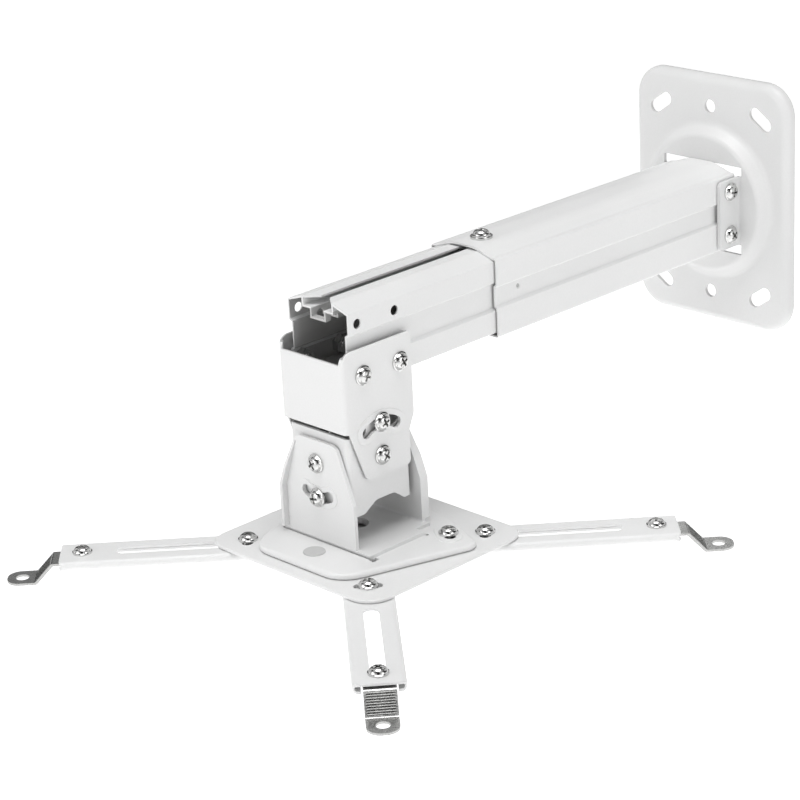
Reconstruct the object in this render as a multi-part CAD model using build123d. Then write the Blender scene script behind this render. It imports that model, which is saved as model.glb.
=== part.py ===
from build123d import *
import math
import os

os.makedirs("parts", exist_ok=True)

# Telescopic projector arm for a wall or ceiling.
# Millimetres. +X runs along the arm away from the wall, +Z is up.
# Drawn from the wall plate's front face (X = 0) and moved out by the rim
# depth at export, so that the wall is X = 0 in the written files.
RIM = 8.0                 # wall plate: depth of the turned-back rim

# wall plate (pressed sheet)
WP_Y, WP_Z = 128.0, 169.0
WP_T = 2.5
WP_R = 21.0
BOSS_R0, BOSS_R1, BOSS_H = 52.4, 46.0, 8.0
WIN_Y, WIN_Z0, WIN_Z1 = 32.5, -31.0, 28.9
TAB_Y, TAB_T, TAB_X = 27.7, 2.5, 27.0
TAB_Z0, TAB_Z1 = -24.0, 22.4
TAB_SCREW = (16.6, 14.7)
WALL_HOLE_Z, WALL_HOLE_R = 64.0, 4.5
SLOT_Y, SLOT_Z, SLOT_W, SLOT_CC = 41.6, 60.8, 9.0, 10.5

# outer tube
OT_X0, OT_X1 = 8.3, 237.0
OT_Y, OT_ZB, OT_ZS, OT_ZC = 27.2, -25.3, 24.7, 29.5
TUBE_T = 1.2
LOCK_X = 220.5

# inner tube
IT_X0, IT_X1 = 100.0, 358.0
IT_Y, IT_ZB, IT_ZS, IT_ZC = 25.3, -22.8, 22.9, 27.2
CH_Y1, CH_Z1, CH_Y2, CH_Z2 = 12.0, 21.3, 5.3, 15.6
LIP_Y, LIP_CUT = 3.5, 7.0

# saddle bracket (folded sheet)
SB_T = 2.0
SB_X0, SB_X1, SB_Y = 311.6, 366.5, 27.5
SB_SCREW_X, SB_SCREW_Z = (321.1, 351.0), -15.2
PITCH_X, PITCH_Z, PITCH_R = 339.0, -68.3, 20.9
PITCH_SLOT = 35.0

# knuckle (folded box)
KN_T = 2.0
KN_X0, KN_X1, KN_Y = 314.2, 363.4, 24.9
KN_ZB, KN_ZT = -102.2, -52.6
KN_EAR = 9.5              # half width of the cheek above the roll box

# yoke
YK_T = 2.4
YK_X0, YK_X1, YK_Y = 309.2, 366.5, 30.0
ROLL_Z, ROLL_R, ROLL_SLOT = -72.0, 21.5, 27.0
YK_TOP, YK_FOOT = -57.6, -122.0

# swivel plate and hub plate, shared centre
PC_X, PC_Y = 337.8, 8.0
SP_TOP, SP_T, SP_RIM = -122.0, 2.0, -125.7
RIVET = (379.7, 8.0)
SLK_DX, SLK_DY = -68.2, 43.6      # lock screw from the rivet
HUB_TOP, HUB_T = -126.0, 2.0
HUB_CY = 8.5
HUB_X, HUB_Y, HUB_R = 132.4, 143.2, 15.5
PIV_X, PIV_Y = 48.8, 51.7
HUB_SLOT_L, SLOT7 = 17.2, 7.0

# arms (lipped channel) and feet
ARM_TOP, ARM_H, ARM_W, ARM_T = -128.3, 5.7, 30.0, 1.4
ARM_LIP, ARM_IN = 10.1, 15.0
ARM_SLOT_W = 9.0
# name, corner sign x, corner sign y, direction, reach to foot screw, slot start, slot end, arm end
ARMS = (("1", 1, 1, 48.8, 105.6, 25.2, 111.0, 117.6),
        ("2", 1, -1, -43.0, 99.7, -8.0, 79.5, 113.0),
        ("3", -1, 1, 137.5, 102.6, -8.0, 82.2, 115.6),
        ("4", -1, -1, -133.0, 101.2, -8.0, 81.0, 114.4))
FOOT_T, FOOT_W, FOOT_HOLE_X, FOOT_HOLE_R = 1.4, 18.2, 37.3, 4.0
FOOT_GAP = 1.2            # between the arm's web and the foot, which lies on the lips
FOOT_TOP = -142.4         # top of the pad
FOOT_B1, FOOT_B2 = 18.0, 28.7
FOOT_SHORT = {"1": 5.0}   # how much nearer its screw the front foot's ring is

# fasteners
M6 = 3.0
RUN = 0.07                # running clearance on a pivot
HEAD_R, HEAD_H = 6.0, 4.0
NUT_AF, NUT_H = 10.0, 5.0


# ---------------------------------------------------------------- helpers
def rpoly(pts):
    """Closed face in XY from (x, y) or (x, y, corner radius)."""
    n = len(pts)
    ends, arcs = [], []
    for i in range(n):
        p = Vector(pts[i][0], pts[i][1])
        a = Vector(pts[i - 1][0], pts[i - 1][1])
        b = Vector(pts[(i + 1) % n][0], pts[(i + 1) % n][1])
        r = pts[i][2] if len(pts[i]) > 2 else 0
        if not r:
            ends.append((p, p))
            arcs.append(None)
            continue
        u, v = (a - p).normalized(), (b - p).normalized()
        half = math.acos(max(-1, min(1, u.dot(v)))) / 2
        t = r / math.tan(half)
        c = p + (u + v).normalized() * (r / math.sin(half))
        m = c + (p - c).normalized() * r
        ends.append((p + u * t, p + v * t))
        arcs.append(m)
    edges = []
    for i in range(n):
        if arcs[i] is not None:
            edges.append(ThreePointArc(ends[i][0], arcs[i], ends[i][1]))
        q = ends[(i + 1) % n][0]
        if (q - ends[i][1]).length > 1e-6:
            edges.append(Line(ends[i][1], q))
    return make_face(edges)


def inset(pts, d):
    """Polygon moved inwards by d along every edge (points counter-clockwise)."""
    n = len(pts)
    out = []
    for i in range(n):
        a, p, b = pts[i - 1], pts[i], pts[(i + 1) % n]
        u = (p[0] - a[0], p[1] - a[1])
        v = (b[0] - p[0], b[1] - p[1])
        lu, lv = math.hypot(*u), math.hypot(*v)
        nu, nv = (-u[1] / lu, u[0] / lu), (-v[1] / lv, v[0] / lv)
        k = 1 + nu[0] * nv[0] + nu[1] * nv[1]
        out.append((p[0] + d * (nu[0] + nv[0]) / k, p[1] + d * (nu[1] + nv[1]) / k))
    return out


def px(pts, x0, x1):
    """Profile (y, z) run from x0 to x1."""
    return extrude(Plane.YZ.offset(x0) * rpoly(pts), amount=x1 - x0, dir=(1, 0, 0))


def py(pts, y0, y1):
    """Profile (x, z) run from y0 to y1."""
    return extrude(Plane.XZ.offset(-y0) * rpoly(pts), amount=y1 - y0, dir=(0, 1, 0))


def pz(pts, z0, z1):
    return extrude(Plane.XY.offset(z0) * rpoly(pts), amount=z1 - z0, dir=(0, 0, 1))


def box(x0, x1, y0, y1, z0, z1):
    return Pos((x0 + x1) / 2, (y0 + y1) / 2, (z0 + z1) / 2) * Box(x1 - x0, y1 - y0, z1 - z0)


UP = (Align.CENTER, Align.CENTER, Align.MIN)


def cx(x0, x1, y, z, r):
    return Pos(x0, y, z) * Rot(0, 90, 0) * Cylinder(r, x1 - x0, align=UP)


def cy(y0, y1, x, z, r):
    return Pos(x, y0, z) * Rot(-90, 0, 0) * Cylinder(r, y1 - y0, align=UP)


def cz(z0, z1, x, y, r):
    return Pos(x, y, z0) * Cylinder(r, z1 - z0, align=UP)


def arc_band(c, r, mid, half, w):
    """Face of an arc slot: centre c, mean radius r, round ends, angles in degrees."""
    def at(ang, rad):
        a = math.radians(ang)
        return Vector(c[0] + rad * math.cos(a), c[1] + rad * math.sin(a))
    a0, a1, h = mid - half, mid + half, w / 2
    e0, e1 = at(a0, r), at(a1, r)
    t0 = Vector(math.sin(math.radians(a0)), -math.cos(math.radians(a0)))
    t1 = Vector(-math.sin(math.radians(a1)), math.cos(math.radians(a1)))
    return make_face([
        ThreePointArc(at(a0, r + h), at(mid, r + h), at(a1, r + h)),
        ThreePointArc(at(a1, r + h), e1 + t1 * h, at(a1, r - h)),
        ThreePointArc(at(a1, r - h), at(mid, r - h), at(a0, r - h)),
        ThreePointArc(at(a0, r - h), e0 + t0 * h, at(a0, r + h))])


def slot(length, w):
    """Straight slot face along X, centred, end to end length."""
    c = length / 2 - w / 2
    return make_face([Line((-c, w / 2), (c, w / 2)),
                      ThreePointArc((c, w / 2), (c + w / 2, 0), (c, -w / 2)),
                      Line((c, -w / 2), (-c, -w / 2)),
                      ThreePointArc((-c, -w / 2), (-c - w / 2, 0), (-c, w / 2))])


def near(items, test):
    return [e for e in items if test(e.center())]


# ---------------------------------------------------------------- fasteners
def screw(length, turn=0.0):
    """Pan head cross-recess screw, head seated at z = 0 and pointing to +Z."""
    prof = make_face([
        Line((0, 0), (HEAD_R, 0)),
        Line((HEAD_R, 0), (HEAD_R, 0.9)),
        Line((HEAD_R, 0.9), (5.35, 1.25)),
        ThreePointArc((5.35, 1.25), (4.3, 3.0), (1.9, HEAD_H - 0.08)),
        Line((1.9, HEAD_H - 0.08), (0, HEAD_H)),
        Line((0, HEAD_H), (0, 0))])
    head = revolve(Plane.XZ * prof, axis=Axis.Z)
    shank = Pos(0, 0, -length) * Cylinder(M6, length, align=UP)
    shank = chamfer(shank.edges().filter_by(GeomType.CIRCLE).sort_by(Axis.Z)[0:1], 0.5)
    a, b = 3.1, 0.72
    cross = [(a, -b), (a, b), (b, b), (b, a), (-b, a), (-b, b), (-a, b), (-a, -b),
             (-b, -b), (-b, -a), (b, -a), (b, -b)]
    rec = extrude(Plane.XY.offset(HEAD_H) * rpoly(cross), amount=2.3, dir=(0, 0, -1), taper=12)
    return Rot(0, 0, turn) * (head + shank - rec)


def nut(turn=0.0, h=NUT_H):
    """Hexagon nut from z = 0 up."""
    r = NUT_AF / 2 / math.cos(math.pi / 6)
    body = extrude(RegularPolygon(r, 6), amount=h)
    cone = Pos(0, 0, -0.6) * Cone(r + 1.0, r - 0.3, h + 0.6, align=UP)
    body = body & cone
    return Rot(0, 0, turn) * (body - Pos(0, 0, -1) * Cylinder(M6, h + 2, align=UP))


def to_y(sign):
    """Points +Z to +Y or -Y."""
    return Rot(-90, 0, 0) if sign > 0 else Rot(90, 0, 0)


def to_x(sign):
    return Rot(0, 90, 0) if sign > 0 else Rot(0, -90, 0)


nodes = {}


def add(name, *solids):
    flat = []
    for s in solids:
        flat += [Pos(RIM, 0, 0) * one for one in s.solids()]
    shape = flat[0] if len(flat) == 1 else Compound(children=flat)
    export_step(shape, "parts/" + name + ".step")
    nodes[name] = shape


# ---------------------------------------------------------------- wall plate
def wp_skin(d, x_front):
    y, z, r = WP_Y / 2 - d, WP_Z / 2 - d, WP_R - d
    s = px([(-y, -z, r), (y, -z, r), (y, z, r), (-y, z, r)], -RIM, x_front)
    rim = near(s.edges(), lambda c: abs(c.X - x_front) < 1e-3)
    return fillet(rim, 6.0 - d)


boss_out = Pos(0, 0, 0) * Rot(0, 90, 0) * Cone(BOSS_R0, BOSS_R1, BOSS_H, align=UP)
k = (BOSS_R0 - BOSS_R1) / BOSS_H
dr = WP_T * math.sqrt(1 + k * k)
boss_in = Pos(-WP_T - 0.01, 0, 0) * Rot(0, 90, 0) * Cone(
    BOSS_R0 + k * (WP_T + 0.01) - dr, BOSS_R0 - k * (BOSS_H - WP_T) - dr, BOSS_H + 0.01, align=UP)
skin = wp_skin(0, 0.0) + boss_out
skin = fillet(near(skin.edges().filter_by(GeomType.CIRCLE), lambda c: abs(c.X - BOSS_H) < 1e-3), 4.0)
skin = fillet([e for e in skin.edges().filter_by(GeomType.CIRCLE)
               if abs(e.center().X) < 1e-3 and abs(e.radius - BOSS_R0) < 0.01], 5.0)
wall_plate = skin - wp_skin(WP_T, -WP_T) - boss_in
# window for the tube, with corner reliefs either side of the two bent-out tabs
wall_plate -= box(0, 12, -TAB_Y, TAB_Y, WIN_Z0, WIN_Z1)
for z0, z1 in ((WIN_Z0, TAB_Z0), (TAB_Z1, WIN_Z1)):
    wall_plate -= pz([(0, -WIN_Y), (12, -WIN_Y), (12, WIN_Y), (0, WIN_Y)], z0, z1)
for s in (1, -1):
    tab = box(BOSS_H - WP_T, TAB_X, min(s * TAB_Y, s * (TAB_Y + TAB_T)),
              max(s * TAB_Y, s * (TAB_Y + TAB_T)), TAB_Z0, TAB_Z1)
    tab = fillet(tab.edges().filter_by(Axis.Y).filter_by(lambda e: e.center().X > TAB_X - 1), 3.0)
    wall_plate += tab
    wall_plate = fillet([e for e in wall_plate.edges().filter_by(Axis.Z)
                         if abs(e.center().X - BOSS_H) < 0.01
                         and abs(e.center().Y - s * (TAB_Y + TAB_T)) < 0.01
                         and abs(e.center().Z) < 2], 1.8)
    for z in (-TAB_SCREW[1], TAB_SCREW[1]):
        wall_plate -= cy(-1 + s * (TAB_Y + 1), 1 + s * (TAB_Y + 1) + 2, TAB_SCREW[0], z, M6 + 0.2) if s > 0 \
            else cy(-TAB_Y - 4, -TAB_Y + 1, TAB_SCREW[0], z, M6 + 0.2)
for s in (1, -1):
    wall_plate -= cx(-RIM - 1, 3, 0, s * WALL_HOLE_Z, WALL_HOLE_R)
for sy in (1, -1):
    for sz in (1, -1):
        f = Plane.YZ.offset(-RIM - 1) * (Pos(sy * SLOT_Y, sz * SLOT_Z) * Rot(0, 0, -35.0 * sy * sz)
                                         * slot(SLOT_CC + SLOT_W, SLOT_W))
        wall_plate -= extrude(f, amount=RIM + 3, dir=(1, 0, 0))
add("wall_plate", wall_plate)

tab_screws, tab_nuts = [], []
for s in (1, -1):
    for i, z in enumerate((-TAB_SCREW[1], TAB_SCREW[1])):
        at = Pos(TAB_SCREW[0], s * (TAB_Y + TAB_T), z)
        tab_screws.append(at * to_y(s) * screw(9.8, 25 + 40 * i + 15 * s))
        tab_nuts.append(Pos(TAB_SCREW[0], s * (OT_Y - TUBE_T), z) * to_y(-s) * nut(0, 4.0))
add("tab_screws", *tab_screws)
add("tab_nuts", *tab_nuts)


# ---------------------------------------------------------------- outer tube
def ot_profile():
    y, g = OT_Y, 2.0
    right = [(y, OT_ZB), (y, -6.4), (y - g, -5.0), (y - g, 6.3), (y, 7.7), (y, OT_ZS),
             (23.5, OT_ZS + 0.3), (10.0, OT_ZC)]
    return right + [(-a, b) for a, b in reversed(right)]


def sharp_to_round(pts, radii):
    return [(p[0], p[1], r) if r else p for p, r in zip(pts, radii)]


op = ot_profile()
orad = [2.0, 0.8, 0.5, 0.5, 0.8, 1.5, 0, 28.0]
orad = orad + orad[::-1]
irad = [0.8, 0.3, 1.2, 1.2, 0.3, 0.4, 0, 27.0]
irad = irad + irad[::-1]
outer_tube = px(sharp_to_round(op, orad), OT_X0, OT_X1) \
    - px(sharp_to_round(inset(op, TUBE_T), irad), OT_X0 - 1, OT_X1 + 1)
outer_tube -= cz(20, 35, LOCK_X, 0, M6 + 0.2)
for s in (1, -1):
    for z in (-TAB_SCREW[1], TAB_SCREW[1]):
        outer_tube -= cy(min(s * 24, s * 30), max(s * 24, s * 30), TAB_SCREW[0], z, M6 + 0.1)
# punched dimple in the near groove
outer_tube -= Pos(216, OT_Y - 2.0 - 0.7, 2.4) * Rot(-90, 0, 0) * Cone(1.2, 2.0, 0.75, align=UP)
add("outer_tube", outer_tube)

washer = cz(OT_ZC, OT_ZC + 1.2, LOCK_X, 0, 7.0) - cz(OT_ZC - 1, OT_ZC + 3, LOCK_X, 0, M6 + 0.1)
add("tube_lock_washer", washer)
add("tube_lock_screw", Pos(LOCK_X, 0, OT_ZC + 1.2) * screw(13.2, 20))
tnut = box(LOCK_X - 10, LOCK_X + 10, -11, 11, 22.0, 25.5)
tnut = chamfer(tnut.edges().filter_by(Axis.Z), 1.0) - cz(20, 28, LOCK_X, 0, M6)
add("tube_lock_nut", tnut)


# ---------------------------------------------------------------- inner tube
right = [(IT_Y, IT_ZB), (IT_Y, -8.3), (IT_Y - 2.4, -6.9), (IT_Y - 2.4, 8.2), (IT_Y, 9.6),
         (IT_Y, IT_ZS), (CH_Y1, IT_ZC), (CH_Y1, CH_Z1), (CH_Y2, CH_Z1), (CH_Y2, CH_Z2)]
ip = right + [(-a, b) for a, b in reversed(right)]
r1 = [1.8, 0.8, 0.5, 0.5, 0.8, 1.2, 0, 0.4, 0.4, 0.4]
r2 = [0.7, 0.3, 1.2, 1.2, 0.3, 0.4, 0, 0.4, 0.4, 0.4]
inner_tube = px(sharp_to_round(ip, r1 + r1[::-1]), IT_X0, IT_X1) \
    - px(sharp_to_round(inset(ip, TUBE_T), r2 + r2[::-1]), IT_X0 - 1, IT_X1 + 1)
for s in (1, -1):
    lip = [(IT_X0, s * (CH_Y1 + 0.6)), (IT_X1, s * (CH_Y1 + 0.6)), (IT_X1, s * CH_Y1),
           (IT_X1 - LIP_CUT, s * LIP_Y), (IT_X0, s * LIP_Y)]
    inner_tube += pz(lip, IT_ZC - 1.45, IT_ZC - 0.25)
for x in SB_SCREW_X:
    inner_tube -= cy(-40, 40, x, 15.6, 3.0)
    inner_tube -= cy(-40, 40, x, SB_SCREW_Z, M6 + 0.1)
add("inner_tube", inner_tube)


# ---------------------------------------------------------------- saddle bracket
y, r = SB_Y, 3.0
side = [(SB_X0, 1.0, 2.0), (SB_X1, 1.0, 7.5), (SB_X1, -48.5), (363.4, -48.5), (351.6, -81.0, 5.0),
        (316.0, -81.0, 3.0), (316.0, -60.0, 4.0), (SB_X0, -50.0, 6.0)]
saddle = pz([(SB_X0 - 1, -y), (SB_X1, -y, r), (SB_X1, y, r), (SB_X0 - 1, y)], -82, 2) \
    - pz([(SB_X0 - 2, -y + SB_T), (SB_X1 - SB_T, -y + SB_T, r - SB_T), (SB_X1 - SB_T, y - SB_T, r - SB_T),
          (SB_X0 - 2, y - SB_T)], -83, 3)
saddle = saddle & py(side, -40, 40)
saddle -= box(SB_X1 - 3.2, SB_X1 + 1, -y + 3.4, y - 3.4, -6.3, 5)
for s in (1, -1):
    band = arc_band((PITCH_X, PITCH_Z), PITCH_R, 90, PITCH_SLOT, 14.4)
    pad = extrude(Plane.XZ.offset(-s * SB_Y) * band, amount=0.8, dir=(0, s, 0))
    pad = chamfer(near(pad.edges(), lambda c: abs(c.Y) > SB_Y + 0.75), 0.55)
    saddle += pad
    band = arc_band((PITCH_X, PITCH_Z), PITCH_R, 90, PITCH_SLOT, 11.6)
    saddle -= extrude(Plane.XZ.offset(-s * (SB_Y - SB_T - 0.2)) * band, amount=1.0, dir=(0, s, 0))
    band = arc_band((PITCH_X, PITCH_Z), PITCH_R, 90, PITCH_SLOT, SLOT7)
    saddle -= extrude(Plane.XZ.offset(-s * 20) * band, amount=12, dir=(0, s, 0))
saddle -= cy(-40, 40, PITCH_X, PITCH_Z, M6 + RUN)
for x in SB_SCREW_X:
    saddle -= cy(-40, 40, x, SB_SCREW_Z, M6 + 0.2)
add("saddle_bracket", saddle)

screws, nuts = [], []
for s in (1, -1):
    for i, x in enumerate(SB_SCREW_X):
        screws.append(Pos(x, s * SB_Y, SB_SCREW_Z) * to_y(s) * screw(9.5, 10 + 35 * i + 20 * s))
        nuts.append(Pos(x, s * (IT_Y - TUBE_T), SB_SCREW_Z) * to_y(-s) * nut(30))
add("saddle_screws", *screws)
add("saddle_nuts", *nuts)


# ---------------------------------------------------------------- knuckle
def kn_ring(d, r, z0, z1):
    return pz([(KN_X0 + d, -KN_Y + d, r), (KN_X1 - d, -KN_Y + d, r),
               (KN_X1 - d, KN_Y - d, r), (KN_X0 + d, KN_Y - d, r)], z0, z1)


knuckle = kn_ring(0, 3.0, -103, -41) - kn_ring(KN_T, 1.0, -104, -40)
# side outline: rounded top about the tilt pivot, arched lower edge
edge = [(KN_X0 - 1, KN_ZB), (320.5, KN_ZB, 3.0), (328.5, -96.3, 6.0), (343.5, -96.3, 6.0),
        (353.0, KN_ZB, 3.0), (KN_X1 + 1, KN_ZB), (KN_X1 + 1, KN_ZT), (355.0, KN_ZT, 2.0),
        (PITCH_X + KN_EAR, -57.0, 3.0), (PITCH_X + KN_EAR, -41.3, 6.0), (PITCH_X - KN_EAR, -41.3, 6.0),
        (PITCH_X - KN_EAR, -57.0, 3.0), (323.0, KN_ZT, 2.0), (KN_X0 - 1, KN_ZT)]
knuckle = knuckle & py(edge, -40, 40)
top = pz([(KN_X0 - 1, -KN_Y + 2.3), (KN_X1 + 1, -KN_Y + 2.3), (KN_X1 + 1, KN_Y - 2.3),
          (KN_X0 - 1, KN_Y - 2.3)], -50, -40)
knuckle -= top
knuckle -= cy(-40, 40, PITCH_X, PITCH_Z, M6 + 0.05)
knuckle -= cy(-40, 40, PITCH_X, PITCH_Z + PITCH_R, M6 + 0.05)
for z in (ROLL_Z, ROLL_Z - ROLL_R):
    knuckle -= cx(300, 380, 0, z, M6 + 0.05)
add("knuckle", knuckle)

pivots, locks, nuts = [], [], []
for s in (1, -1):
    pivots.append(Pos(PITCH_X, s * (SB_Y + 0.1), PITCH_Z) * to_y(s) * screw(10.4, 18 + 30 * s))
    locks.append(Pos(PITCH_X, s * (SB_Y + 0.9), PITCH_Z + PITCH_R) * to_y(s) * screw(11.2, 5 + 20 * s))
    for z in (PITCH_Z, PITCH_Z + PITCH_R):
        nuts.append(Pos(PITCH_X, s * (KN_Y - KN_T), z) * to_y(-s) * nut(30))
add("pitch_pivot_screws", *pivots)
add("pitch_lock_screws", *locks)
add("pitch_nuts", *nuts)

pivots, locks, nuts = [], [], []
for s, xo, xk in ((1, YK_X1, KN_X1), (-1, YK_X0, KN_X0)):
    reach = abs(xo - xk) + KN_T + NUT_H + 0.6
    pivots.append(Pos(xo + s * 0.1, 0, ROLL_Z) * to_x(s) * screw(reach, 35))
    locks.append(Pos(xo + s * 0.6, 0, ROLL_Z - ROLL_R) * to_x(s) * screw(reach + 0.5, 12))
    for z in (ROLL_Z, ROLL_Z - ROLL_R):
        nuts.append(Pos(xk - s * KN_T, 0, z) * to_x(-s) * nut(0))
add("roll_pivot_screws", *pivots)
add("roll_lock_screws", *locks)
add("roll_nuts", *nuts)

# ---------------------------------------------------------------- yoke
ear = [(-YK_Y, YK_FOOT), (YK_Y, YK_FOOT), (YK_Y, -92.0, 4.0), (17.0, YK_TOP, 6.0), (-17.0, YK_TOP, 6.0),
       (-YK_Y, -92.0, 4.0)]
ear_near = px(ear, YK_X1 - YK_T, YK_X1)
flange = [(-YK_Y, -118.5), (-YK_Y + YK_T, -118.5), (-YK_Y + YK_T, -91.6), (-17.2, -62.0), (-18.8, -62.0),
          (-YK_Y, -92.0)]
flange = px(flange, YK_X1 - 1.0, YK_X1 + 3.8)
# it narrows towards its top
flange = flange & py([(YK_X1 - 1.0, -119.0), (YK_X1 + 3.8, -119.0), (YK_X1 + 3.8, -79.0), (YK_X1 + 0.7, -62.0),
                      (YK_X1 - 1.0, -62.0)], -40, 40)
ear_near += flange
pad = extrude(Plane.YZ.offset(YK_X1) * arc_band((0, ROLL_Z), ROLL_R, -90, ROLL_SLOT, 13.6), amount=0.5,
              dir=(1, 0, 0))
pad = chamfer(near(pad.edges(), lambda c: c.X > YK_X1 + 0.45), 0.4)
ear_near += pad
ear_near -= extrude(Plane.YZ.offset(YK_X1 - 5) * arc_band((0, ROLL_Z), ROLL_R, -90, ROLL_SLOT, SLOT7),
                    amount=8, dir=(1, 0, 0))
ear_near -= cx(YK_X1 - 5, YK_X1 + 5, 0, ROLL_Z, M6 + RUN)
mid = (YK_X0 + YK_X1) / 2
ear_far = Pos(mid, 0, 0) * Rot(0, 0, 180) * Pos(-mid, 0, 0) * ear_near
base = pz([(YK_X1, -34.0), (YK_X1, 41.5), (321.0, 41.5, 1.0), (321.0, 34.0), (YK_X0, 34.0), (YK_X0, -41.5),
           (2 * mid - 321.0, -41.5, 1.0), (2 * mid - 321.0, -34.0)], YK_FOOT, YK_FOOT + 2.0)
yoke = base + ear_near + ear_far
yoke = fillet([e for e in yoke.edges().filter_by(Axis.Y)
               if abs(e.center().Z - YK_FOOT - 2.0) < 0.01
               and (abs(e.center().X - YK_X1 + YK_T) < 0.01 or abs(e.center().X - YK_X0 - YK_T) < 0.01)], 1.6)
yoke = fillet([e for e in yoke.edges().filter_by(Axis.Y)
               if abs(e.center().Z - YK_FOOT) < 0.01
               and (abs(e.center().X - YK_X1) < 0.01 or abs(e.center().X - YK_X0) < 0.01)], 1.7)
yoke -= cz(-130, -119, mid, 0, 8.0)
add("yoke", yoke)


# ---------------------------------------------------------------- swivel plate
def plan(d):
    half = [(395.4 - d, 38.3 - 0.6 * d, 20.0 - d), (308.8 + 0.5 * d, 67.5 - 1.2 * d, 9.0 - d),
            (292.2 + 1.1 * d, 26.0, 40.0 - d)]
    return [(a, PC_Y + b, r) for a, b, r in reversed(half)] + [(a, PC_Y - b, r) for a, b, r in half]


pan = pz(plan(0), SP_RIM, SP_TOP)
pan = fillet(near(pan.edges(), lambda c: abs(c.Z - SP_TOP) < 1e-3), 2.4)
pan = chamfer(near(pan.edges(), lambda c: abs(c.Z - SP_RIM) < 1e-3), 0.8)
hollow = pz(plan(SP_T), SP_RIM - 1, SP_TOP - SP_T)
hollow = fillet(near(hollow.edges(), lambda c: abs(c.Z - SP_TOP + SP_T) < 1e-3), 1.2)
swivel_plate = pan - hollow
rad = math.hypot(SLK_DX, SLK_DY)
ang = math.degrees(math.atan2(SLK_DY, SLK_DX))
half = math.degrees((8.7 - SLOT7 / 2) / rad)
pad = extrude(Plane.XY.offset(SP_TOP) * arc_band(RIVET, rad, ang, half, 15.0), amount=0.6, dir=(0, 0, 1))
pad = chamfer(near(pad.edges(), lambda c: c.Z > SP_TOP + 0.55), 0.5)
swivel_plate += pad
swivel_plate -= extrude(Plane.XY.offset(-130) * arc_band(RIVET, rad, ang, half, SLOT7), amount=12,
                        dir=(0, 0, 1))
swivel_plate -= cz(-130, -119, RIVET[0], RIVET[1], 4.0)
swivel_plate -= cz(-130, -119, mid, 0, 8.0)
# grooves under the outer bends of the yoke's ears
swivel_plate -= box(YK_X1 - 1.3, YK_X1 + 0.5, -33.9, 41.8, SP_TOP - 1.3, -119)
swivel_plate -= box(YK_X0 - 0.5, YK_X0 + 1.3, -41.8, 33.9, SP_TOP - 1.3, -119)
# bend reliefs at the corners of the yoke foot
swivel_plate -= box(362.5, YK_X1 + 1.5, 41.7, 45.5, -130, -119)
swivel_plate -= box(YK_X0 - 1.5, 2 * mid - 362.5, -45.5, -41.7, -130, -119)
swivel_plate -= cz(-130, -119, 320.3, 42.4, 1.1)
swivel_plate -= cz(-130, -119, 2 * mid - 320.3, -42.4, 1.1)
add("swivel_plate", swivel_plate)

ring = cz(SP_TOP - SP_T - 1.9, SP_TOP - SP_T, RIVET[0], RIVET[1], 11.0) - cz(-130, -119, RIVET[0], RIVET[1], 4.0)
add("swivel_washer", ring)
rivet = cz(-127.9, SP_TOP, 0, 0, 4.0) + cz(SP_TOP, SP_TOP + 0.9, 0, 0, 6.7)
rivet = fillet(near(rivet.edges().filter_by(GeomType.CIRCLE), lambda c: abs(c.Z - SP_TOP - 0.9) < 1e-3), 0.7)
rivet += Pos(0, 0, -127.9) * Cone(5.6, 4.0, 1.6, align=UP)
add("swivel_rivet", Pos(RIVET[0], RIVET[1], 0) * rivet)

# ---------------------------------------------------------------- hub plate
hx, hy = HUB_X / 2, HUB_Y / 2
hub = pz([(PC_X - hx, HUB_CY - hy, HUB_R), (PC_X + hx, HUB_CY - hy, HUB_R), (PC_X + hx, HUB_CY + hy, HUB_R),
          (PC_X - hx, HUB_CY + hy, HUB_R)], HUB_TOP - HUB_T, HUB_TOP)
hub = fillet(near(hub.edges(), lambda c: abs(c.Z - HUB_TOP) < 1e-3), 0.8)
hub = fillet(near(hub.edges(), lambda c: abs(c.Z - HUB_TOP + HUB_T) < 1e-3), 0.7)
hub -= cz(-130, -120, RIVET[0], RIVET[1], 4.0 + RUN)
# countersink for the rivet's flush tail
hub -= Pos(RIVET[0], RIVET[1], HUB_TOP - HUB_T) * Cone(5.82, 4.0, 1.82, align=UP)
diag = math.degrees(math.atan2(PIV_Y, PIV_X))
for n_, sx, sy, ang, *_ in ARMS:
    tang = math.degrees(math.atan2(sy * PIV_Y, sx * PIV_X)) + 90
    f = Pos(PC_X + sx * PIV_X, HUB_CY + sy * PIV_Y, -130) * Rot(0, 0, tang) * slot(HUB_SLOT_L, SLOT7)
    hub -= extrude(f, amount=6, dir=(0, 0, 1))
lx, ly = RIVET[0] + SLK_DX, RIVET[1] + SLK_DY
hub -= cz(-130, -120, lx, ly, 4.4)
add("hub_plate", hub)

add("swivel_lock_screw", Pos(lx, ly, SP_TOP + 0.7) * screw(6.5, 15))
# pressed-in nut, its collar between the plates
body = cz(HUB_TOP, HUB_TOP + 1.6, lx, ly, 6.5) + cz(HUB_TOP - HUB_T, HUB_TOP, lx, ly, 4.4)
add("swivel_lock_nut", body - cz(-130, -120, lx, ly, M6))


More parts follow.
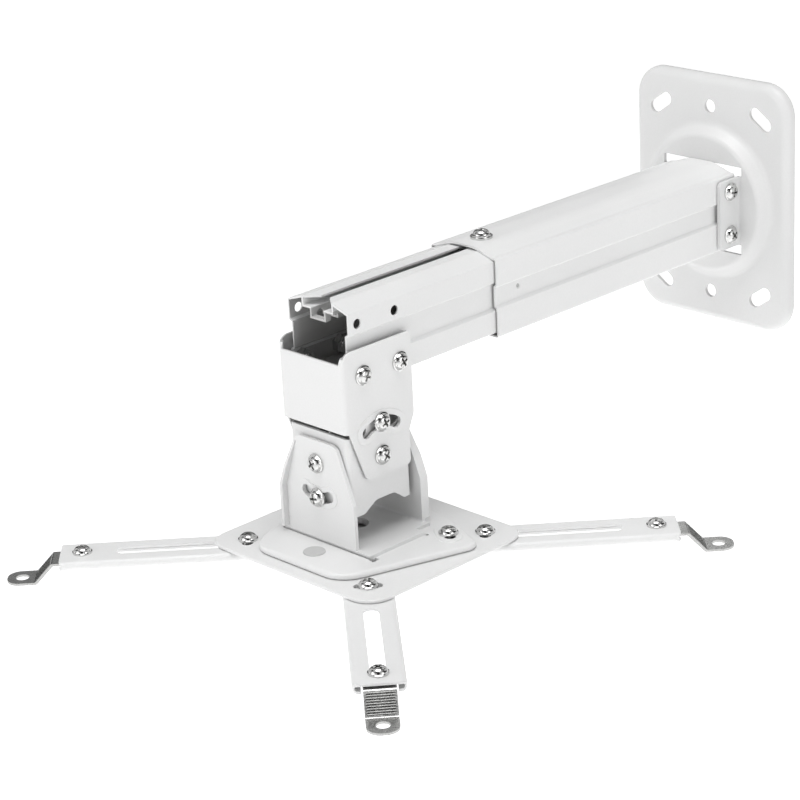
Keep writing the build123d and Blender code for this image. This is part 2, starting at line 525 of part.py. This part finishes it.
# ---------------------------------------------------------------- arms and feet
def arm_shape(s0, s1, end, hole):
    """Lipped channel with its slot from s0 to s1 and a screw hole."""
    w, h, t, lip = ARM_W / 2, ARM_H, ARM_T, ARM_LIP
    z1 = ARM_TOP
    z0 = z1 - h
    ro, ri = 2.8, 1.4
    outer = px([(-w, z0, ro), (w, z0, ro), (w, z1, ro), (-w, z1, ro)], -ARM_IN, end)
    inner = px([(-w + t, z0 + t, ri), (w - t, z0 + t, ri), (w - t, z1 - t, ri), (-w + t, z1 - t, ri)],
               -ARM_IN - 1, end + 1)
    a = outer - inner - box(-ARM_IN - 1, end + 1, -lip, lip, z0 - 1, z0 + t + 0.1)
    a = a & pz([(-ARM_IN, -w, 6.0), (end, -w, 4.0), (end, w, 4.0), (-ARM_IN, w, 6.0)], z0 - 1, z1 + 1)
    f = Pos((s0 + s1) / 2, 0, z1 - 3) * slot(s1 - s0, ARM_SLOT_W)
    a -= extrude(f, amount=6, dir=(0, 0, 1))
    a -= cz(z1 - 3, z1 + 1, hole, 0, M6 + RUN)
    return a


def foot_shape(short):
    t = FOOT_T
    z1 = ARM_TOP - ARM_T - FOOT_GAP
    zp = FOOT_TOP
    b1, b2, e = FOOT_B1 - short, FOOT_B2 - short, FOOT_HOLE_X - short
    prof = [(-8.0, z1 - t), (b1 - 0.7, z1 - t, 1.2), (b2 - 0.7, zp - t, 1.6),
            (50.0, zp - t), (50.0, zp), (b2 + 0.4, zp, 1.2), (b1 + 0.4, z1, 1.8), (-8.0, z1)]
    f = py(prof, -FOOT_W / 2, FOOT_W / 2)
    w = FOOT_W / 2
    outline = pz([(-8.0, -w, 3.0), (e + 9.1, -w, 8.0), (e + 9.1, w, 8.0), (-8.0, w, 3.0)], -160, -120)
    f = f & outline
    # fine cross grooves pressed into the slope
    run, drop = (b2 + 0.4) - (b1 + 0.4), z1 - zp
    length = math.hypot(run, drop)
    slope = math.degrees(math.atan2(drop, run))
    for i in range(8):
        k = 0.17 + 0.66 * i / 7
        f -= Pos(b1 + 0.4 + run * k, 0, z1 - drop * k) * Rot(0, slope, 0) * Box(0.7, FOOT_W - 1.6, 0.9)
    f -= cz(z1 - 3, z1 + 1, 0, 0, M6 + RUN)
    f -= cz(zp - 4, zp + 1, e, 0, FOOT_HOLE_R)
    return f


for i, (n_, sx, sy, ang, reach, s0, s1, end) in enumerate(ARMS):
    at = Pos(PC_X + sx * PIV_X, HUB_CY + sy * PIV_Y, 0) * Rot(0, 0, ang)
    wz = ARM_TOP - ARM_T - 0.2            # top of the washer under the arm
    add("arm_screw_" + n_, at * (Pos(0, 0, HUB_TOP + 0.1) * screw(11.6, 20 + 25 * i)))
    ring = cz(wz - 1.0, wz, 0, 0, 8.0) - cz(wz - 3, wz + 1, 0, 0, M6 + RUN)
    add("arm_washer_" + n_, at * ring)
    add("arm_nut_" + n_, at * (Pos(0, 0, wz - 1.1 - NUT_H) * nut(0)))
    # the front arm is turned end for end: its hole is at the hub, its slot carries the foot
    add("arm_" + n_, at * arm_shape(s0, s1, end, 0.0 if s0 > 0 else reach))
    fz = ARM_TOP - ARM_T - FOOT_GAP - FOOT_T - 0.1
    add("foot_" + n_, at * Pos(reach, 0, 0) * foot_shape(FOOT_SHORT.get(n_, 0.0)))
    add("foot_screw_" + n_, at * (Pos(reach, 0, ARM_TOP + (0.1 if s0 > 0 else 0.0)) * screw(10.6, 40 + 20 * i)))
    add("foot_nut_" + n_, at * (Pos(reach, 0, fz - NUT_H) * nut(0)))

for name, shape in nodes.items():
    b = shape.bounding_box()
    print(f"{name:22s} solids {len(shape.solids())}  vol {shape.volume:9.1f}  "
          f"x {b.min.X:7.1f}..{b.max.X:7.1f}  y {b.min.Y:7.1f}..{b.max.Y:7.1f}  z {b.min.Z:7.1f}..{b.max.Z:7.1f}")
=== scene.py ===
import math

import bpy
from mathutils import Matrix, Vector


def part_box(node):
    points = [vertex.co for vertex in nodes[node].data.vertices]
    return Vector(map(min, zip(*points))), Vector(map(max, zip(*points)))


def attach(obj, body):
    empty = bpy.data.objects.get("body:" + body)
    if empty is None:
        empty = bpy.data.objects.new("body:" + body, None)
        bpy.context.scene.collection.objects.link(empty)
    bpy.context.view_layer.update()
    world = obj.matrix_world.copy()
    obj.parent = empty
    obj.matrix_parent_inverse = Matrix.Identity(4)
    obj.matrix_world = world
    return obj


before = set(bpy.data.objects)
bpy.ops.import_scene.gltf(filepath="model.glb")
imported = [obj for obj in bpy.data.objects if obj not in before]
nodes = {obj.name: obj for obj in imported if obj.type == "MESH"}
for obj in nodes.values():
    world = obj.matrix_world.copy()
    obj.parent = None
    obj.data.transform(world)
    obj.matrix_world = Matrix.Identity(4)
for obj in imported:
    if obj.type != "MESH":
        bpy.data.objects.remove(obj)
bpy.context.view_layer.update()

scene = bpy.context.scene
scene.view_settings.view_transform = "Standard"
scene.view_settings.look = "None"


# ------------------------------------------------------------ camera
def place_camera():
    az, el, roll = math.radians(46.28), math.radians(20.87), math.radians(-2.99)
    back = Vector((math.cos(az) * math.cos(el), math.sin(az) * math.cos(el), math.sin(el)))
    right = Vector((-math.sin(az), math.cos(az), 0.0))
    up = back.cross(right)
    c, s = math.cos(roll), math.sin(roll)
    right, up = right * c + up * s, up * c - right * s
    data = bpy.data.cameras.new("camera")
    data.sensor_width = 36.0
    data.lens = 114.88
    data.clip_start, data.clip_end = 0.05, 50.0
    cam = bpy.data.objects.new("camera", data)
    scene.collection.objects.link(cam)
    m = Matrix((right, up, back)).transposed().to_4x4()
    m.translation = Vector((1.2953, 1.0365, 0.4931))
    cam.matrix_world = m
    scene.camera = cam


place_camera()


# ------------------------------------------------------------ node helpers
class Net:
    """A material's node tree, with short calls for the nodes it uses."""

    def __init__(self, name):
        self.mat = bpy.data.materials.new(name)
        self.mat.use_nodes = True
        self.tree = self.mat.node_tree
        self.tree.nodes.clear()
        self.out = self.add("ShaderNodeOutputMaterial")
        self.bsdf = self.add("ShaderNodeBsdfPrincipled")
        self.link(self.bsdf.outputs[0], self.out.inputs[0])
        self.coord = self.add("ShaderNodeTexCoord")

    def add(self, kind, **props):
        n = self.tree.nodes.new(kind)
        for k, v in props.items():
            setattr(n, k, v)
        return n

    def link(self, a, b):
        self.tree.links.new(a, b)

    def put(self, node, socket, value):
        if hasattr(value, "is_output"):
            self.link(value, node.inputs[socket])
        else:
            node.inputs[socket].default_value = value

    def set(self, **values):
        for k, v in values.items():
            self.put(self.bsdf, k.replace("_", " "), v)

    def scaled(self, x, y, z):
        m = self.add("ShaderNodeMapping")
        m.inputs["Scale"].default_value = (x, y, z)
        self.link(self.coord.outputs["Object"], m.inputs["Vector"])
        return m.outputs[0]

    def noise(self, scale, detail=2.0, rough=0.5, vector=None):
        n = self.add("ShaderNodeTexNoise")
        n.inputs["Scale"].default_value = scale
        n.inputs["Detail"].default_value = detail
        n.inputs["Roughness"].default_value = rough
        self.link(vector or self.coord.outputs["Object"], n.inputs["Vector"])
        return n.outputs["Fac"]

    def ramp(self, fac, stops):
        n = self.add("ShaderNodeValToRGB")
        while len(n.color_ramp.elements) < len(stops):
            n.color_ramp.elements.new(0.5)
        for e, (p, c) in zip(n.color_ramp.elements, stops):
            e.position = p
            e.color = (c, c, c, 1.0) if not isinstance(c, tuple) else (*c, 1.0)
        self.link(fac, n.inputs[0])
        return n.outputs[0]

    def spread(self, fac, a0, a1, b0, b1):
        n = self.add("ShaderNodeMapRange")
        for i, v in enumerate((a0, a1, b0, b1)):
            n.inputs[i + 1].default_value = v
        self.link(fac, n.inputs[0])
        return n.outputs[0]

    def math(self, op, a, b=0.0):
        n = self.add("ShaderNodeMath", operation=op)
        self.put(n, 0, a)
        self.put(n, 1, b)
        return n.outputs[0]

    def mix(self, fac, a, b):
        n = self.add("ShaderNodeMix", data_type="RGBA")
        self.put(n, 0, fac)
        for i, v in ((6, a), (7, b)):
            self.put(n, i, (*v, 1.0) if isinstance(v, tuple) else v)
        return n.outputs[2]

    def bump(self, height, distance, strength=1.0, normal=None):
        n = self.add("ShaderNodeBump")
        n.inputs["Strength"].default_value = strength
        n.inputs["Distance"].default_value = distance
        self.link(height, n.inputs["Height"])
        if normal is not None:
            self.link(normal, n.inputs["Normal"])
        return n.outputs[0]


# ------------------------------------------------------------ materials
def coat(name, bore=None, tone=0.76, fold=None):
    """Satin white powder coat: orange peel, slight unevenness of tone and gloss, faint rub marks.
    bore: limits in metres of a tube's inner skin, coloured grey both as bare metal and as painted shade
    inside the tube:
    its side, bottom and top, half width and bottom of its top channel, half height and side of the flank's
    groove.
    fold: side and front limits of a folded bracket's inner skin, which is coloured dark grey as painted shade
    inside the fold."""
    net = Net(name)
    cloud = net.noise(14.0, 3.0, 0.55)
    grain = net.noise(900.0, 2.0, 0.6)
    light, dim = (tone + 0.02, tone + 0.021, tone + 0.02), (tone - 0.008, tone - 0.006, tone - 0.007)
    colour = net.mix(net.spread(cloud, 0.3, 0.7, 0.0, 1.0), dim, light)
    fleck = net.math("MULTIPLY", net.spread(grain, 0.35, 0.75, 0.0, 1.0), 0.35)
    colour = net.mix(fleck, colour, (tone - 0.05, tone - 0.048, tone - 0.05))
    rubbed = net.ramp(net.noise(5.0, 6.0, 0.7), [(0.56, 0.0), (0.70, 1.0)])
    rough = net.spread(net.noise(60.0, 2.0), 0.3, 0.7, 0.34, 0.46)
    rough = net.math("SUBTRACT", rough, net.math("MULTIPLY", rubbed, 0.07))
    if bore:
        side, bottom, top, half, floor_z, groove, groove_side = bore
        xyz = net.add("ShaderNodeSeparateXYZ")
        net.link(net.coord.outputs["Object"], xyz.inputs[0])
        y = net.math("ABSOLUTE", xyz.outputs["Y"])
        z = xyz.outputs["Z"]
        # the flank's groove is pressed in, so the skin lies nearer the middle there
        flank = net.math("MULTIPLY", net.math("LESS_THAN", y, side),
                         net.math("GREATER_THAN", net.math("ABSOLUTE", z), groove))
        flank = net.math("MAXIMUM", flank, net.math("LESS_THAN", y, groove_side))
        inner = net.math("MULTIPLY", flank, net.math("GREATER_THAN", z, bottom))
        below = net.math("LESS_THAN", z, top)
        if half:
            # under the channel the skin turns down, so the limit there is lower
            over = net.math("LESS_THAN", y, half)
            low = net.math("LESS_THAN", z, floor_z)
            below = net.math("MULTIPLY", below, net.math("MAXIMUM", net.math("SUBTRACT", 1.0, over), low))
        inner = net.math("MULTIPLY", inner, below)
        # the inner skin's grey is partly bare metal and partly painted shade for the dim inside of the tube
        steel = net.mix(net.spread(net.noise(40.0, 4.0, 0.6, net.scaled(0.15, 1.0, 1.0)), 0.3, 0.7, 0.0, 1.0),
                        (0.40, 0.40, 0.40), (0.50, 0.50, 0.495))
        colour = net.mix(inner, colour, steel)
    if fold:
        side, front = fold
        xyz = net.add("ShaderNodeSeparateXYZ")
        net.link(net.coord.outputs["Object"], xyz.inputs[0])
        inner = net.math("MULTIPLY", net.math("LESS_THAN", net.math("ABSOLUTE", xyz.outputs["Y"]), side),
                         net.math("LESS_THAN", xyz.outputs["X"], front))
        # painted shade: the inner skin of the fold is coloured dark grey for the shade inside it
        fold_painted_shade = net.mix(net.spread(net.noise(55.0, 4.0, 0.6), 0.3, 0.7, 0.0, 1.0),
                       (0.30, 0.30, 0.30), (0.40, 0.40, 0.397))
        colour = net.mix(inner, colour, fold_painted_shade)
    net.set(Base_Color=colour, Roughness=rough)
    peel = net.bump(net.noise(420.0, 2.0, 0.5), 0.00006, 0.5)
    net.set(Normal=net.bump(grain, 0.00002, 0.4, peel))
    return net.mat


def zinc(name, tone=0.66):
    """Bright zinc: fine turning marks, a little clouding and smudges in the gloss."""
    net = Net(name)
    blotch = net.noise(260.0, 3.0, 0.6)
    colour = net.mix(net.spread(blotch, 0.3, 0.7, 0.0, 1.0), (tone - 0.10, tone - 0.10, tone - 0.105),
                     (tone + 0.05, tone + 0.05, tone + 0.045))
    net.set(Base_Color=colour, Roughness=net.spread(net.noise(700.0, 3.0), 0.3, 0.7, 0.09, 0.18))
    net.bsdf.inputs["Metallic"].default_value = 1.0
    net.set(Normal=net.bump(net.noise(1800.0, 2.0), 0.00001, 0.5))
    return net.mat


def plated(name, tone=0.42):
    """Plated pressed steel: clouded grey, fine drawing lines and small pits."""
    net = Net(name)
    blotch = net.noise(420.0, 3.0, 0.6)
    colour = net.mix(net.spread(blotch, 0.3, 0.7, 0.0, 1.0), (tone, tone, tone - 0.005),
                     (tone + 0.10, tone + 0.10, tone + 0.093))
    pits = net.ramp(net.noise(1500.0, 1.0), [(0.62, 0.0), (0.70, 1.0)])
    colour = net.mix(net.math("MULTIPLY", pits, 0.5), colour, (0.18, 0.18, 0.175))
    net.set(Base_Color=colour, Roughness=net.spread(net.noise(500.0, 3.0), 0.3, 0.7, 0.22, 0.36))
    net.bsdf.inputs["Metallic"].default_value = 1.0
    net.set(Normal=net.bump(net.noise(900.0, 3.0), 0.00003, 0.5))
    return net.mat


looks = {
    "coat": coat("white_coat"),
    "plate": coat("white_coat_wall_plate", tone=0.69),
    # tube coats: their inner skin is grey, partly bare metal and partly painted shade
    "inner": coat("white_coat_inner_tube", (0.0246, -0.0222, 0.0222, 0.0128, 0.0206, 0.0106, 0.0223)),
    "outer": coat("white_coat_outer_tube", (0.0265, -0.0247, 0.0240, 0.0, 0.0, 0.0087, 0.0246)),
    "rivet": coat("white_coat_rivet", tone=0.50),
    # the folded bracket and the block carry painted shade on their inner skin
    "folded": coat("white_coat_folded_painted_shade", fold=(0.0264, 0.3732)),
    "block": coat("white_coat_block_painted_shade", fold=(0.0238, 0.3702)),
    "zinc": zinc("zinc_screw"),
    "plated": plated("plated_foot"),
    # the ribs take a darker copy of the feet's plated steel, as painted shade on the pressed ribs
    "ribs": plated("plated_foot_ribs_painted_shade", 0.24),
}
BY_NAME = {"inner_tube": "inner", "outer_tube": "outer", "swivel_rivet": "rivet", "tube_lock_nut": "plated",
           "saddle_bracket": "folded", "knuckle": "block", "wall_plate": "plate"}
for name, obj in nodes.items():
    if name in BY_NAME:
        mat = looks[BY_NAME[name]]
    elif any(w in name for w in ("screw", "nut", "washer")):
        mat = looks["zinc"]
    elif name.startswith("foot_"):
        mat = looks["plated"]
    else:
        mat = looks["coat"]
    obj.data.materials.clear()
    obj.data.materials.append(mat)


# ------------------------------------------------------------ screw threads
def thread(label, body, axis_xy, z0, z1, radius=0.003, pitch=0.001, ridge=0.00024):
    """Helical ridge of a metric thread round a vertical shank, from z0 up to z1."""
    per_turn = 28
    count = max(per_turn, int(per_turn * (z1 - z0 - pitch) / pitch))
    verts, faces = [], []
    for i in range(count + 1):
        a = 2 * math.pi * i / per_turn
        z = z0 + pitch / 2 + pitch * i / per_turn
        fade = min(1.0, i / 10.0, (count - i) / 10.0)
        c, sn = math.cos(a), math.sin(a)
        for r, dz in ((radius - 0.0001, -0.46 * pitch), (radius + ridge * fade, -0.06 * pitch),
                      (radius + ridge * fade, 0.06 * pitch), (radius - 0.0001, 0.46 * pitch)):
            verts.append((axis_xy[0] + r * c, axis_xy[1] + r * sn, z + dz))
    for i in range(count):
        for k in range(4):
            a, b = 4 * i + k, 4 * i + (k + 1) % 4
            faces.append((a, b, b + 4, a + 4))
    faces.append((3, 2, 1, 0))
    faces.append(tuple(4 * count + k for k in range(4)))
    me = bpy.data.meshes.new(label)
    me.from_pydata(verts, [], faces)
    me.validate()
    piece = bpy.data.objects.new(label, me)
    scene.collection.objects.link(piece)
    me.materials.append(looks["zinc"])
    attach(piece, body)


for n in "1234":
    for part, body in (("arm", "arm_bolt_" + n), ("foot", "foot_bolt_1" if n == "1" else "arm_" + n)):
        lo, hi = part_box("%s_screw_%s" % (part, n))
        nut_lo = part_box("%s_nut_%s" % (part, n))[0]
        thread("%s_thread_%s" % (part, n), body, ((lo[0] + hi[0]) / 2, (lo[1] + hi[1]) / 2),
               lo[2] + 0.0004, nut_lo[2] + 0.0004)


# ------------------------------------------------------------ ribs across the feet's slopes
def ribs(label, body, pivot, heading, reach, short):
    """Fine half-round ribs pressed up between the grooves of a foot's slope."""
    c, sn = math.cos(math.radians(heading)), math.sin(math.radians(heading))
    x0, x1 = 18.4 - short, 29.1 - short
    z0, z1 = -130.9, -142.4
    run, drop = x1 - x0, z0 - z1
    length = math.hypot(run, drop)
    dx, dz = run / length, -drop / length
    nx, nz = drop / length, run / length
    half, wide, high, arc = 7.6, 0.40, 0.42, 6
    verts, faces = [], []
    for i in range(9):
        k = (0.17 - 0.33 / 7) + 0.66 / 7 * i
        cx, cz = x0 + run * k, z0 - drop * k
        base = len(verts)
        for y in (-half, half):
            for j in range(arc + 1):
                a = math.pi * j / arc
                u, v = -wide * math.cos(a), high * math.sin(a) - 0.12
                px, pz = cx + dx * u + nx * v, cz + dz * u + nz * v
                wx = pivot[0] + c * (reach + px) - sn * y
                wy = pivot[1] + sn * (reach + px) + c * y
                verts.append((wx / 1000, wy / 1000, pz / 1000))
        n = arc + 1
        for j in range(arc):
            faces.append((base + j, base + j + 1, base + n + j + 1, base + n + j))
        faces.append((base, base + n, base + 2 * n - 1, base + n - 1))
        faces.append(tuple(base + j for j in reversed(range(n))))
        faces.append(tuple(base + n + j for j in range(n)))
    me = bpy.data.meshes.new(label)
    me.from_pydata(verts, [], faces)
    me.validate()
    piece = bpy.data.objects.new(label, me)
    scene.collection.objects.link(piece)
    # painted shade: the ribs get the darker copy of the plated steel
    me.materials.append(looks["ribs"])
    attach(piece, body)


for n, sx, sy, heading, reach, short in (("1", 1, 1, 48.8, 105.6, 5.0), ("2", 1, -1, -43.0, 99.7, 0.0),
                                         ("3", -1, 1, 137.5, 102.6, 0.0), ("4", -1, -1, -133.0, 101.2, 0.0)):
    ribs("foot_ribs_" + n, "foot_" + n, (345.8 + sx * 48.8, 8.5 + sy * 51.7), heading, reach, short)


# ------------------------------------------------------------ studio
def stage_floor():
    me = bpy.data.meshes.new("floor")
    r, z = 12.0, -0.75
    me.from_pydata([(-r, -r, z), (r, -r, z), (r, r, z), (-r, r, z)], [], [(0, 1, 2, 3)])
    floor = bpy.data.objects.new("floor", me)
    scene.collection.objects.link(floor)
    net = Net("pale_floor")
    tone = net.spread(net.noise(0.6, 2.0), 0.3, 0.7, 0.0, 1.0)
    net.set(Base_Color=net.mix(tone, (0.93, 0.93, 0.93), (0.95, 0.95, 0.95)), Roughness=0.9)
    net.bsdf.inputs["Emission Color"].default_value = (1, 1, 1, 1)
    net.bsdf.inputs["Emission Strength"].default_value = 0.68
    me.materials.append(net.mat)


def area(name, place, aim, size, power, colour=(1, 1, 1)):
    data = bpy.data.lights.new(name, "AREA")
    data.shape = "RECTANGLE"
    data.size, data.size_y = size
    data.energy = power
    data.color = colour
    o = bpy.data.objects.new(name, data)
    scene.collection.objects.link(o)
    o.location = place
    o.rotation_mode = "QUATERNION"
    o.rotation_quaternion = (Vector(aim) - Vector(place)).to_track_quat("-Z", "Y")


def studio():
    world = bpy.data.worlds.new("studio")
    scene.world = world
    world.use_nodes = True
    t = world.node_tree
    t.nodes.clear()
    out = t.nodes.new("ShaderNodeOutputWorld")
    bg = t.nodes.new("ShaderNodeBackground")
    coord = t.nodes.new("ShaderNodeTexCoord")
    wave = t.nodes.new("ShaderNodeTexNoise")
    wave.inputs["Scale"].default_value = 2.6
    wave.inputs["Detail"].default_value = 0.0
    ramp = t.nodes.new("ShaderNodeValToRGB")
    ramp.color_ramp.elements[0].position = 0.44
    ramp.color_ramp.elements[0].color = (0.03, 0.03, 0.03, 1)
    ramp.color_ramp.elements[1].position = 0.50
    ramp.color_ramp.elements[1].color = (1.0, 1.0, 1.0, 1)
    t.links.new(coord.outputs["Generated"], wave.inputs["Vector"])
    t.links.new(wave.outputs["Fac"], ramp.inputs[0])
    path = t.nodes.new("ShaderNodeLightPath")
    mix = t.nodes.new("ShaderNodeMix")
    mix.data_type = "RGBA"
    t.links.new(path.outputs["Is Camera Ray"], mix.inputs[0])
    # a darker part of the room behind the object, low down, for the polished heads to mirror
    toward = t.nodes.new("ShaderNodeVectorMath")
    toward.operation = "DOT_PRODUCT"
    toward.inputs[1].default_value = (-0.65, -0.67, 0.36)
    t.links.new(coord.outputs["Generated"], toward.inputs[0])
    shade = t.nodes.new("ShaderNodeMapRange")
    for i, v in enumerate((0.80, 0.96, 1.0, 0.40)):
        shade.inputs[i + 1].default_value = v
    t.links.new(toward.outputs["Value"], shade.inputs[0])
    dim = t.nodes.new("ShaderNodeMix")
    dim.data_type = "RGBA"
    t.links.new(shade.outputs[0], dim.inputs[0])
    dim.inputs[6].default_value = (0.05, 0.05, 0.05, 1)
    t.links.new(ramp.outputs[0], dim.inputs[7])
    t.links.new(dim.outputs[2], mix.inputs[6])
    mix.inputs[7].default_value = (1.8, 1.8, 1.8, 1)
    t.links.new(mix.outputs[2], bg.inputs[0])
    bg.inputs[1].default_value = 0.74
    t.links.new(bg.outputs[0], out.inputs[0])
    area("key", (0.5, 0.2, 1.9), (0.25, 0, 0), (1.3, 1.3), 27.0)
    area("front", (1.75, -0.3, 0.2), (0.35, 0, -0.09), (0.9, 0.9), 5.2)
    area("side", (0.15, 2.4, 0.45), (0.25, 0, -0.05), (1.0, 1.0), 9.5)


stage_floor()
studio()
